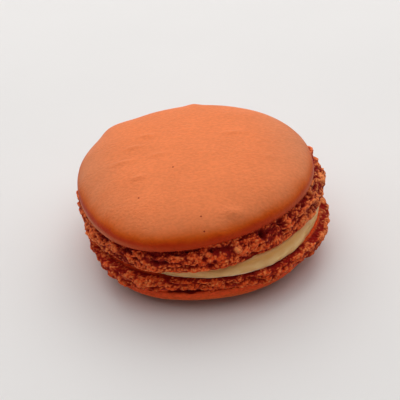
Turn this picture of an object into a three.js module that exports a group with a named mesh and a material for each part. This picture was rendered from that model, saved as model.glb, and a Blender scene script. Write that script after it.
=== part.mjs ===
// A salted caramel macaron: two almond meringue shells with a wedge of caramel cream between them.
// Each shell is a smooth domed cap over a crumbly, ruffled foot. The bottom shell lies dome down.
// Lengths are in millimetres and angles in degrees. +Z is up, +X is the side where the cream is
// thickest, and the origin is on the table, under the middle of the macaron.

import * as THREE from "three";
import { mergeVertices } from "three/addons/utils/BufferGeometryUtils.js";

// Driving dimensions of the top shell, with heights measured up from its flat inner face
const TOP_SHELL = {
  name: "top_shell",
  seed: 11,
  faceRadius: 22.4, // the flat inner face, out to where the skirt starts
  footRadius: 24.3,
  skirtHeight: 0.4,
  footHeight: 4.15,
  footBulge: 0.45, // how far the foot's wall swells past a straight line
  grooveRadius: 22.4, // the crease between foot and cap
  lipRadius: 23.2,
  lipHeight: 5.1,
  crestHeight: 11.8,
  domePower: 2.55, // 2 is an ellipse, and more is flatter on top with a tighter shoulder
  flatRadius: 0,
  lean: { x: -0.5, y: -0.5 }, // how far the cap sits off the foot's centre
  footBulges: [{ angle: 20, halfWidth: 16, depth: 0.7 }],
  capBulges: [
    { angle: 132, halfWidth: 9, depth: 2.0 },
    { angle: 155, halfWidth: 14, depth: 0.4 },
    { angle: 112, halfWidth: 12, depth: 0.3 },
    { angle: 87, halfWidth: 4, depth: 0.9 },
    { angle: 80, halfWidth: 45, depth: 0.7 },
    { angle: -125, halfWidth: 22, depth: 0.5 },
  ],
  skirtDroops: [
    { angle: -114, halfWidth: 14, depth: 0.3 },
    { angle: -84, halfWidth: 6, depth: 0.4 },
    { angle: -62, halfWidth: 44, depth: 1.0 },
  ], // where the skirt hangs over the cream
  footSags: [],
  steps: { face: 3, skirt: 2, foot: 7, lip: 2, dome: 9 },
};

// The same for the bottom shell, with heights measured down from its inner face
const BOTTOM_SHELL = {
  name: "bottom_shell",
  seed: 47,
  faceRadius: 21.9,
  footRadius: 23.8,
  skirtHeight: 0.3,
  footHeight: 2.9,
  footBulge: 0.3,
  grooveRadius: 22.7,
  lipRadius: 22.9,
  lipHeight: 3.7,
  crestHeight: 8.25,
  domePower: 2.3,
  flatRadius: 11, // the spot that it rests on
  lean: { x: 0, y: 0 },
  footBulges: [
    { angle: 30, halfWidth: 22, depth: 1.1 },
    { angle: 46, halfWidth: 8, depth: -0.7 },
    { angle: 56, halfWidth: 14, depth: 0.7 },
    { angle: 131, halfWidth: 20, depth: 1.0 },
    { angle: 152, halfWidth: 10, depth: 0.4 },
    { angle: -10, halfWidth: 12, depth: -0.7 },
  ],
  capBulges: [
    { angle: 35, halfWidth: 30, depth: -1.2 },
    { angle: 155, halfWidth: 18, depth: -1.0 },
    { angle: 108, halfWidth: 18, depth: 0.3 },
  ],
  skirtDroops: [],
  footSags: [
    { angle: 138, halfWidth: 28, depth: 1.3 },
    { angle: 40, halfWidth: 30, depth: 1.2 },
  ], // where the foot is taller, so that its crease lies nearer the crest
  steps: { face: 2, skirt: 2, foot: 5, lip: 2, dome: 6 },
};

const FILLING = {
  name: "filling",
  seed: 83,
  radius: 22,
  edgeRound: 0.5,
  lowCentre: { x: 1.0, y: -1.0 }, // the side slants, out towards the bottom at the front and right
  highCentre: { x: 0.7, y: -0.75 },
  waveDepth: 0.25,
  waveLength: 9,
  steps: { side: 5 },
};

// Where the shells lie: the top one is tipped, so that the cream shows most at the front and right
const TOP_PLACE = { x: -0.9, y: 0.6, z: 10.75, tiltX: -1.3, tiltY: -4.3 };
const BOTTOM_PLACE = { x: 0.4, y: 0.0 };
const CREAM_GAP = 0.2;
const SKIRT_CLEARANCE = 0.6; // how far inside the skirt the cream starts to dip under it

// The outline is a little egg-shaped: each wave adds or takes off its depth, so many times round
const OUTLINE_WAVES = [
  { times: 2, depth: 0.25, peakAt: -15 },
  { times: 3, depth: 0.5, peakAt: 8 },
  { times: 4, depth: 0.25, peakAt: -22 },
];

// Relief: swells and packed crumbs on the foot, a wavy skirt, and faint swells on the cap
const FOOT_SWELL = { size: 5.2, depth: 0.35 };
const FOOT_CRUMBS = { size: 2.3, flatness: 0.7, depth: 1.0 };
const USUAL_CRUMB = 0.75; // the crumb relief that leaves the foot's radius as it is
const SKIRT_CRUMBS = { share: 0.35, height: 1 }; // the skirt's thin edge keeps this share of the relief
const SKIRT_WAVE = { size: 3.4, depth: 0.25 };
const CAP_SWELL = { size: 11, depth: 0.22 };

const SHELL_STEPS_ROUND = 156;
const FILLING_STEPS_ROUND = 84;

// Colours and finish
const SHELL_COLOUR = "#d2703f";
const CREAM_COLOUR = "#d9b57e";
const SHELL_ROUGHNESS = 0.7;
const CREAM_ROUGHNESS = 0.45;

const { degToRad, smoothstep, lerp } = THREE.MathUtils;

// A repeatable random number from 0 to 1 for a point of a whole-number lattice
function latticeValue(ix, iy, iz, seed) {
  let mix = Math.imul(ix, 374761393) ^ Math.imul(iy, 668265263);
  mix ^= Math.imul(iz, 1440662683) ^ Math.imul(seed, 1013904223);
  mix = Math.imul(mix ^ (mix >>> 15), 1274126177);
  mix = Math.imul(mix ^ (mix >>> 13), 1103515245);
  return ((mix ^ (mix >>> 16)) >>> 0) / 4294967296;
}

// Smooth swells from -1 to 1, one unit apart
function swells(x, y, z, seed) {
  const cell = [x, y, z].map(Math.floor);
  const share = [x - cell[0], y - cell[1], z - cell[2]].map((t) => t * t * (3 - 2 * t));
  let value = 0;
  for (let corner = 0; corner < 8; corner++) {
    const step = [corner & 1, (corner >> 1) & 1, corner >> 2];
    const weight = step.reduce((w, on, axis) => w * (on ? share[axis] : 1 - share[axis]), 1);
    value += weight * latticeValue(cell[0] + step[0], cell[1] + step[1], cell[2] + step[2], seed);
  }
  return 2 * value - 1;
}

// Round crumbs packed about one unit apart: 1 on top of a crumb, falling to sharp creases between
function crumbs(x, y, z, seed) {
  const cell = [x, y, z].map(Math.floor);
  let nearest = Infinity;
  for (let neighbour = 0; neighbour < 27; neighbour++) {
    const ix = cell[0] + (neighbour % 3) - 1;
    const iy = cell[1] + (Math.floor(neighbour / 3) % 3) - 1;
    const iz = cell[2] + Math.floor(neighbour / 9) - 1;
    const dx = ix + latticeValue(ix, iy, iz, seed) - x;
    const dy = iy + latticeValue(ix, iy, iz, seed + 1) - y;
    const dz = iz + latticeValue(ix, iy, iz, seed + 2) - z;
    nearest = Math.min(nearest, dx * dx + dy * dy + dz * dz);
  }
  return 1 - nearest;
}

function outlineWave(angle) {
  return OUTLINE_WAVES.reduce((sum, wave) => {
    return sum + wave.depth * Math.cos(wave.times * (angle - degToRad(wave.peakAt)));
  }, 0);
}

// Local bulges, each a soft hump about its own angle
function bulgesAt(bulges, angle) {
  return bulges.reduce((sum, bulge) => {
    const off = angle - degToRad(bulge.angle);
    const turn = Math.atan2(Math.sin(off), Math.cos(off)) / degToRad(bulge.halfWidth);
    return sum + bulge.depth * Math.exp(-turn * turn);
  }, 0);
}

// Half of a shell's section, from the axis at its inner face round to the axis at its crest
function shellProfile(shell) {
  const { faceRadius, footRadius, skirtHeight, footHeight, footBulge } = shell;
  const { grooveRadius, lipRadius, lipHeight, crestHeight, domePower, flatRadius, steps } = shell;
  const at = (radius, height) => new THREE.Vector2(radius, height);

  const face = new THREE.LineCurve(at(0, 0), at(faceRadius, 0));
  const skirt = new THREE.QuadraticBezierCurve(
    at(faceRadius, 0),
    at(footRadius, 0),
    at(footRadius, skirtHeight),
  );
  const foot = new THREE.CubicBezierCurve(
    at(footRadius, skirtHeight),
    at(footRadius + footBulge, lerp(skirtHeight, footHeight, 0.35)),
    at(lerp(footRadius, grooveRadius, 0.4) + footBulge, lerp(skirtHeight, footHeight, 0.8)),
    at(grooveRadius, footHeight),
  );
  const lip = new THREE.QuadraticBezierCurve(
    at(grooveRadius, footHeight),
    at(lipRadius, lerp(footHeight, lipHeight, 0.2)),
    at(lipRadius, lipHeight),
  );
  const points = [
    ...face.getPoints(steps.face).slice(0, -1),
    ...skirt.getPoints(steps.skirt).slice(0, -1),
    ...foot.getPoints(steps.foot).slice(0, -1),
    ...lip.getPoints(steps.lip).slice(0, -1),
  ];
  for (let i = 0; i < steps.dome; i++) {
    const turn = (Math.PI / 2) * (i / steps.dome);
    const out = Math.cos(turn) ** (2 / domePower);
    const up = Math.sin(turn) ** (2 / domePower);
    points.push(at(lerp(flatRadius, lipRadius, out), lerp(lipHeight, crestHeight, up)));
  }
  if (flatRadius > 0) {
    points.push(at(flatRadius, crestHeight));
  }
  points.push(at(0, crestHeight));
  return points;
}

// Turns a section into a closed solid, moves its vertices, and drops the flat triangles at the poles
function turnedSolid(profile, stepsRound, moveVertex) {
  const turned = new THREE.LatheGeometry(profile, stepsRound);
  turned.rotateX(Math.PI / 2);
  turned.deleteAttribute("normal");
  turned.deleteAttribute("uv");
  const position = turned.getAttribute("position");
  const vertex = new THREE.Vector3();
  for (let i = 0; i < position.count; i++) {
    moveVertex(vertex.fromBufferAttribute(position, i));
    position.setXYZ(i, vertex.x, vertex.y, vertex.z);
  }
  const solid = mergeVertices(turned, 1e-4);
  const corners = solid.getIndex().array;
  const kept = [];
  for (let i = 0; i < corners.length; i += 3) {
    const [a, b, c] = corners.subarray(i, i + 3);
    if (a !== b && b !== c && c !== a) {
      kept.push(a, b, c);
    }
  }
  solid.setIndex(kept);
  return solid;
}

// How much of a shell's rim a radius has reached, from 0 on the flat inner face to 1 on the foot
function rimShare({ faceRadius, footRadius }, radius) {
  return smoothstep(radius, faceRadius, lerp(faceRadius, footRadius, 0.6));
}

// Gives a turned shell its uneven outline, its crumbly foot and its faintly uneven cap
function unevenShell(shell) {
  const { seed, footRadius, footHeight, lean } = shell;
  const { lipRadius, lipHeight, crestHeight, flatRadius } = shell;
  const crumbHeight = FOOT_CRUMBS.size * FOOT_CRUMBS.flatness;
  return turnedSolid(shellProfile(shell), SHELL_STEPS_ROUND, (vertex) => {
    const { x, y, z } = vertex;
    const radius = Math.hypot(x, y);
    const angle = Math.atan2(y, x);

    // Shares from 0 to 1: how much a point is on the rim, on the cap, and on the resting spot
    const rim = rimShare(shell, radius);
    const cap = smoothstep(z, footHeight - 0.4, footHeight + 0.6);
    const free = flatRadius > 0 ? 1 - smoothstep(z, lerp(lipHeight, crestHeight, 0.5), crestHeight) : 1;

    // How much the surface faces sideways, from 1 on the wall to 0 on the crest
    const rise = Math.max(0, (z - lipHeight) / (crestHeight - lipHeight));
    const sideways = rise > 0 ? radius / lipRadius / Math.hypot(radius / lipRadius, rise) : 1;

    const sized = ({ size, depth }, offset) => depth * swells(x / size, y / size, z / size, seed + offset);
    const crumb = crumbs(x / FOOT_CRUMBS.size, y / FOOT_CRUMBS.size, z / crumbHeight, seed);
    const rough = rim * (1 - cap) * lerp(SKIRT_CRUMBS.share, 1, smoothstep(z, 0, SKIRT_CRUMBS.height));
    const foot = (sized(FOOT_SWELL, 0) + FOOT_CRUMBS.depth * (crumb - USUAL_CRUMB)) * rough;
    const dome = sized(CAP_SWELL, 20) * cap * free;
    const droop = bulgesAt(shell.skirtDroops, angle);
    const skirt = (Math.abs(sized(SKIRT_WAVE, 30)) - droop) * rim * (1 - smoothstep(z, 0, footHeight));
    const crease = smoothstep(z, 0, footHeight) * (1 - smoothstep(z, lipHeight, crestHeight));
    const sag = bulgesAt(shell.footSags, angle) * crease;

    const outward = radius / footRadius;
    const bulge = lerp(bulgesAt(shell.footBulges, angle), bulgesAt(shell.capBulges, angle), cap);
    const spread = outlineWave(angle) * outward + bulge * free * outward ** 3;
    const moved = radius + spread + foot + dome * sideways;
    const scale = radius > 0 ? moved / radius : 1;
    vertex.x = x * scale + lean.x * cap;
    vertex.y = y * scale + lean.y * cap;
    vertex.z = z + dome * (1 - sideways) + skirt + sag;
  });
}

// The bottom shell is made crest up like the other, then turned over about its own width
function turnedOver(geometry, height) {
  geometry.rotateX(Math.PI);
  geometry.translate(0, 0, height);
  return geometry;
}

// The cream fills the wedge between the two inner faces, with a soft side that is a little wavy
function fillingSolid(underside, upperside) {
  const { seed, radius, edgeRound, lowCentre, highCentre, waveDepth, waveLength, steps } = FILLING;
  const at = (r, share) => new THREE.Vector2(r, share);
  const inset = radius - edgeRound;
  const swollen = radius + edgeRound / 3;
  const side = new THREE.CubicBezierCurve(at(inset, 0), at(swollen, 0.1), at(swollen, 0.9), at(inset, 1));
  const upper = [at(0.93 * radius, 1), at(radius / 2, 1), at(0, 1)];
  const profile = [at(0, 0), at(radius / 2, 0), ...side.getPoints(steps.side), ...upper];
  return turnedSolid(profile, FILLING_STEPS_ROUND, (vertex) => {
    const wave = waveDepth * swells(vertex.x / waveLength, vertex.y / waveLength, 0, seed);
    const scale = 1 + wave / radius;
    vertex.x = vertex.x * scale + lerp(lowCentre.x, highCentre.x, vertex.z);
    vertex.y = vertex.y * scale + lerp(lowCentre.y, highCentre.y, vertex.z);
    vertex.z = lerp(underside, upperside(vertex.x, vertex.y), vertex.z);
  });
}

function namedMesh(name, geometry, colour, roughness) {
  const material = new THREE.MeshStandardMaterial({ color: colour, roughness, metalness: 0 });
  const mesh = new THREE.Mesh(geometry, material);
  mesh.name = name;
  return mesh;
}

const bottomGeometry = turnedOver(unevenShell(BOTTOM_SHELL), BOTTOM_SHELL.crestHeight);
const bottomShell = namedMesh(BOTTOM_SHELL.name, bottomGeometry, SHELL_COLOUR, SHELL_ROUGHNESS);
bottomShell.position.set(BOTTOM_PLACE.x, BOTTOM_PLACE.y, 0);

const topShell = namedMesh(TOP_SHELL.name, unevenShell(TOP_SHELL), SHELL_COLOUR, SHELL_ROUGHNESS);
topShell.position.set(TOP_PLACE.x, TOP_PLACE.y, TOP_PLACE.z);
topShell.rotation.set(degToRad(TOP_PLACE.tiltX), degToRad(TOP_PLACE.tiltY), 0);

// Height of the cream's upper side, a gap below the top shell's tipped inner face and drooping skirt
const faceNormal = new THREE.Vector3(0, 0, 1).applyEuler(topShell.rotation);
function creamTop(x, y) {
  const across = { x: x - TOP_PLACE.x, y: y - TOP_PLACE.y };
  const slope = faceNormal.x * across.x + faceNormal.y * across.y;
  const radius = Math.hypot(across.x, across.y) + SKIRT_CLEARANCE;
  const droop = bulgesAt(TOP_SHELL.skirtDroops, Math.atan2(across.y, across.x)) * rimShare(TOP_SHELL, radius);
  return TOP_PLACE.z - (slope + CREAM_GAP) / faceNormal.z - droop;
}
const fillingGeometry = fillingSolid(BOTTOM_SHELL.crestHeight + CREAM_GAP, creamTop);
const filling = namedMesh(FILLING.name, fillingGeometry, CREAM_COLOUR, CREAM_ROUGHNESS);

const macaron = new THREE.Group();
macaron.add(bottomShell, filling, topShell);

export default macaron;
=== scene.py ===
"""A salted caramel macaron: two almond meringue shells with a wedge of caramel cream between them.

Each shell is a smooth domed cap over a crumbly, ruffled foot. The bottom shell lies dome down, and the
top shell is tipped, so that the cream shows most at the front and right.
Sizes are in millimetres and angles in degrees. A mesh is turned into metres when it is made.
"""

import logging
import math
from collections.abc import Iterator
from dataclasses import dataclass
from enum import Enum, IntEnum

import bpy
import numpy as np
from mathutils import Matrix, Vector

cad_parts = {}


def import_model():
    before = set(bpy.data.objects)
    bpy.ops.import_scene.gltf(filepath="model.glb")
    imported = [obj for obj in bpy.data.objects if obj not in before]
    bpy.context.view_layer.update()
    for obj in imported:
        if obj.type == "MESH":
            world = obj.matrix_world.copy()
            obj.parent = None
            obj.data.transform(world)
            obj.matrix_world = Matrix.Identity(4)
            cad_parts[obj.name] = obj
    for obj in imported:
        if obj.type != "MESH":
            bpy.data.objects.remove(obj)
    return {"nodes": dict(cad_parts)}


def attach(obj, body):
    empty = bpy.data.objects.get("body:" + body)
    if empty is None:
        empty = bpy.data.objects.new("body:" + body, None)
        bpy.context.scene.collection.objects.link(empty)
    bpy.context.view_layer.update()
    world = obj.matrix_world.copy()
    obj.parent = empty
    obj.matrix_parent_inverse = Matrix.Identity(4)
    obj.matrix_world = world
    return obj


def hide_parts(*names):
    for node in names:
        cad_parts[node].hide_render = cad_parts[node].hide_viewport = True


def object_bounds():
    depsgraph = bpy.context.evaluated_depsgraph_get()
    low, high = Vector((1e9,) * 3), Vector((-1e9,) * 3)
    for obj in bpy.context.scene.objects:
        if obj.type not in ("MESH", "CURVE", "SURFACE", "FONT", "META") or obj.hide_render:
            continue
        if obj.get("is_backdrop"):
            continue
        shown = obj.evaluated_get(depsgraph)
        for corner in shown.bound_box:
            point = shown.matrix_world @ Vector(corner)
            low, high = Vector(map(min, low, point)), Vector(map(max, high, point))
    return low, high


frame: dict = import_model()
cad_box: tuple[Vector, Vector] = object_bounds()

log = logging.getLogger("macaron")

MILLIMETRE = 0.001
BODY = "root"
IMAGE_SIDE = 400  # pixels along each side of the picture
SENSOR_WIDTH = 36.0

NOISE_LOW = 0.3  # cloudy noise seldom goes below this
NOISE_HIGH = 0.7  # nor above this
TINY = 1e-9  # keeps a division away from zero

Array = np.ndarray
Socket = bpy.types.NodeSocket
Triple = tuple[float, float, float]
Colour = Triple


# Numbers and curves


def smoothstep(value: Array, low: float, high: float) -> Array:
    """Rises smoothly from 0 at low to 1 at high.

    Args:
        value: The numbers to weigh.
        low: Where the rise starts.
        high: Where the rise ends.

    Returns:
        The shares, from 0 to 1.
    """
    share = np.clip((value - low) / (high - low), 0.0, 1.0)
    return share * share * (3.0 - 2.0 * share)


def lerp(start: float, end: float, share: float | Array) -> float | Array:
    """Goes from start to end as share goes from 0 to 1."""
    return start + (end - start) * share


def bezier(corners: list[tuple[float, float]], steps: int) -> Array:
    """Points along a Bezier curve, without its last one.

    Args:
        corners: The curve's two, three or four control points.
        steps: The number of points.

    Returns:
        The points, one a row.
    """
    order = len(corners) - 1
    share = np.arange(steps)[:, None] / steps
    points = np.zeros((steps, 2))
    for place, corner in enumerate(corners):
        weight = math.comb(order, place) * share**place * (1.0 - share) ** (order - place)
        points += weight * np.array(corner)
    return points


def hump(value: Array, middle: float, half_width: float | Array) -> Array:
    """A soft hump: 1 at its middle, and nearly 0 from two half widths away."""
    return np.exp(-(((value - middle) / half_width) ** 2))


def turn_from(middle: float, angle: Array) -> Array:
    """How far each angle, in radians, lies from a middle in degrees, the short way round."""
    off = angle - math.radians(middle)
    return np.arctan2(np.sin(off), np.cos(off))


def ring_angles(counts: list[int]) -> Array:
    """The angle of each point on rings with these numbers of points, in radians."""
    return np.concatenate([np.arange(count) * 2 * math.pi / count for count in counts])


# Repeatable relief


def lattice_value(cell: Array, seed: int) -> Array:
    """A repeatable random number for each point of a whole-number lattice.

    Args:
        cell: Whole-number points, one a row.
        seed: Picks the set of numbers.

    Returns:
        Numbers from 0 to 1.
    """
    word = 0xFFFFFFFF
    ix, iy, iz = (cell[:, axis].astype(np.int64).astype(np.uint32) for axis in range(3))
    mix = (ix * np.uint32(374761393)) ^ (iy * np.uint32(668265263))
    mix ^= (iz * np.uint32(1440662683)) ^ np.uint32(seed * 1013904223 & word)
    mix = (mix ^ (mix >> np.uint32(15))) * np.uint32(1274126177)
    mix = (mix ^ (mix >> np.uint32(13))) * np.uint32(1103515245)
    return (mix ^ (mix >> np.uint32(16))) / float(word + 1)


def swells(points: Array, seed: int) -> Array:
    """Smooth swells, one unit apart.

    Args:
        points: Where to measure them, one point a row.
        seed: Picks the set of swells.

    Returns:
        Heights from -1 to 1.
    """
    cell = np.floor(points)
    share = points - cell
    share = share * share * (3.0 - 2.0 * share)
    value = np.zeros(len(points))
    for corner in range(8):
        step = np.array([corner & 1, (corner >> 1) & 1, corner >> 2])
        weight = np.prod(np.where(step == 1, share, 1.0 - share), axis=1)
        value += weight * lattice_value(cell + step, seed)
    return 2.0 * value - 1.0


def neighbours(points: Array, seed: int) -> Iterator[tuple[Array, Array]]:
    """Goes through the lattice cell of each point and the 26 cells about it.

    Args:
        points: Where to look from, one point a row.
        seed: Picks the random point that each cell holds.

    Yields:
        The cells, and the squared distance from each point to its cell's random point.
    """
    cell = np.floor(points)
    for number in range(27):
        about = cell + np.array([number % 3 - 1, number // 3 % 3 - 1, number // 9 - 1])
        spot = about + np.stack([lattice_value(about, seed + axis) for axis in range(3)], axis=1)
        yield about, ((spot - points) ** 2).sum(axis=1)


def crumbs(points: Array, seed: int) -> Array:
    """Round crumbs packed about one unit apart.

    Args:
        points: Where to measure them, one point a row.
        seed: Picks the set of crumbs.

    Returns:
        1 on top of a crumb, falling to sharp creases between crumbs.
    """
    nearest = np.full(len(points), np.inf)
    for _, off in neighbours(points, seed):
        nearest = np.minimum(nearest, off)
    return 1.0 - nearest


def bubbles(points: Array, share: float, seed: int) -> Array:
    """Burst bubbles, scattered through about one unit of space each.

    Args:
        points: Where to measure them, one point a row.
        share: How many of the places hold a bubble, from 0 to 1.
        seed: Picks the set of bubbles.

    Returns:
        1 in the middle of a bubble, falling to 0 at its rim and outside.
    """
    smallest, spread = 0.2, 0.3
    depth = np.zeros(len(points))
    for about, off in neighbours(points, seed):
        reach = smallest + spread * lattice_value(about, seed + 3)
        there = lattice_value(about, seed + 4) < share
        depth = np.maximum(depth, np.where(there, 1.0 - off / reach**2, 0.0))
    return np.clip(depth, 0.0, 1.0)


@dataclass(frozen=True)
class Relief:
    """One layer of relief: its spacing and depth, and how much lower than wide its forms are."""

    size: float
    depth: float
    flatness: float = 1.0

    def spaced(self, points: Array) -> Array:
        """The points counted in this layer's own spacing."""
        return points / (self.size * np.array([1.0, 1.0, self.flatness]))

    def swells(self, points: Array, seed: int) -> Array:
        """Smooth swells from minus the depth to the depth."""
        return self.depth * swells(self.spaced(points), seed)

    def crumbs(self, points: Array, seed: int) -> Array:
        """Packed crumbs, before their depth is applied."""
        return crumbs(self.spaced(points), seed)


@dataclass(frozen=True)
class Bulge:
    """A soft bulge in an outline, about its own angle."""

    angle: float
    half_width: float
    depth: float

    def at(self, angle: Array) -> Array:
        """How far the bulge stands out at each angle, in radians."""
        turn = turn_from(self.angle, angle) / math.radians(self.half_width)
        return self.depth * np.exp(-turn * turn)


@dataclass(frozen=True)
class OutlineWave:
    """One wave of an outline that is a little egg-shaped."""

    times: int
    depth: float
    peak_at: float

    def at(self, angle: Array) -> Array:
        """How far the wave stands out at each angle, in radians."""
        return self.depth * np.cos(self.times * (angle - math.radians(self.peak_at)))


@dataclass(frozen=True)
class Spot:
    """One hollow or crumb of its own on a foot: its place, half its width and height, and its depth."""

    angle: float
    height: float
    half_width: float
    half_height: float
    depth: float

    def at(self, angle: Array, height: Array, radius: float) -> Array:
        """How deep the spot is at each point.

        Args:
            angle: The points' angles, in radians.
            height: The points' heights.
            radius: The foot's radius.

        Returns:
            The depth in the middle of the spot, falling to 0 outside it.
        """
        across = turn_from(self.angle, angle) * radius / self.half_width
        up = (height - self.height) / self.half_height
        return self.depth * np.exp(-((across**2 + up**2) ** 2))


@dataclass(frozen=True)
class Bump:
    """One low bump of its own on a cap: its place, half its width and length, and its height."""

    x: float
    y: float
    half_width: float
    half_length: float
    rise: float

    def at(self, points: Array) -> Array:
        """How far the bump stands out at each point of the turned form."""
        off = (points[:, :2] - (self.x, self.y)) / (self.half_width, self.half_length)
        return self.rise * np.exp(-(off**2).sum(axis=1))


def added(forms: tuple[Bulge | OutlineWave | Spot | Bump, ...], *where: object) -> Array:
    """How far all of the forms together stand out at each point: zeros where there are no forms."""
    return sum((form.at(*where) for form in forms), np.zeros(len(where[0])))


OUTLINE_WAVES = (
    OutlineWave(times=2, depth=0.25, peak_at=-15),
    OutlineWave(times=3, depth=0.5, peak_at=8),
    OutlineWave(times=4, depth=0.25, peak_at=-22),
)


# Meshes made of rings


@dataclass
class RingStack:
    """A closed mesh of rings about an upright axis, from one pole to the other.

    A ring has as many points as its part of the surface needs. Neighbouring rings have equal numbers,
    or one has a whole number of times as many as the other.
    """

    name: str
    counts: list[int]
    points: Array

    def faces(self) -> list[tuple[int, ...]]:
        """Joins each ring to the next one.

        Returns:
            The corner numbers of each face, wound outwards.
        """
        starts = np.concatenate([[0], np.cumsum(self.counts)])
        faces: list[tuple[int, ...]] = []
        for ring in range(len(self.counts) - 1):
            lower, upper = self.counts[ring], self.counts[ring + 1]
            faces += self.band(starts[ring], lower, starts[ring + 1], upper)
        return faces

    @staticmethod
    def band(low_start: int, low: int, high_start: int, high: int) -> list[tuple[int, ...]]:
        """Faces between two neighbouring rings.

        Args:
            low_start: Number of the first point of the ring nearer the first pole.
            low: How many points that ring has.
            high_start: Number of the first point of the other ring.
            high: How many points the other ring has.

        Returns:
            The corner numbers of each face.
        """
        if low == high:
            here = np.arange(low)
            after = (here + 1) % low
            square = (low_start + here, low_start + after, high_start + after, high_start + here)
            return list(zip(*(corner.tolist() for corner in square)))
        fine, coarse = max(low, high), min(low, high)
        fine_start, coarse_start = (low_start, high_start) if low > high else (high_start, low_start)
        ratio = fine // coarse
        edge = np.arange(fine)
        nearest = ((edge + (ratio + 1) // 2) // ratio) % coarse
        fans = [fine_start + edge, fine_start + (edge + 1) % fine, coarse_start + nearest]
        step = np.arange(coarse)
        turn = (step * ratio + ratio // 2) % fine
        gaps = [coarse_start + (step + 1) % coarse, coarse_start + step, fine_start + turn]
        groups = [fans, gaps] if coarse > 1 else [fans]
        faces: list[tuple[int, ...]] = []
        for group in groups:
            corners = group if low > high else group[::-1]
            faces += list(zip(*(corner.tolist() for corner in corners)))
        return faces

    def build(self, marks: dict[str, Array]) -> bpy.types.Object:
        """Makes the mesh and its object.

        Args:
            marks: Named numbers for each point, which the finish reads.

        Returns:
            The object, in the scene, with smooth shading.
        """
        mesh = bpy.data.meshes.new(self.name)
        mesh.from_pydata((self.points * MILLIMETRE).tolist(), [], self.faces())
        for mark, values in marks.items():
            layer = mesh.attributes.new(mark, "FLOAT", "POINT")
            layer.data.foreach_set("value", values.astype(np.float32))
        mesh.shade_smooth()
        mesh.update()
        made = bpy.data.objects.new(self.name, mesh)
        bpy.context.scene.collection.objects.link(made)
        return made


# Finishes


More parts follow.
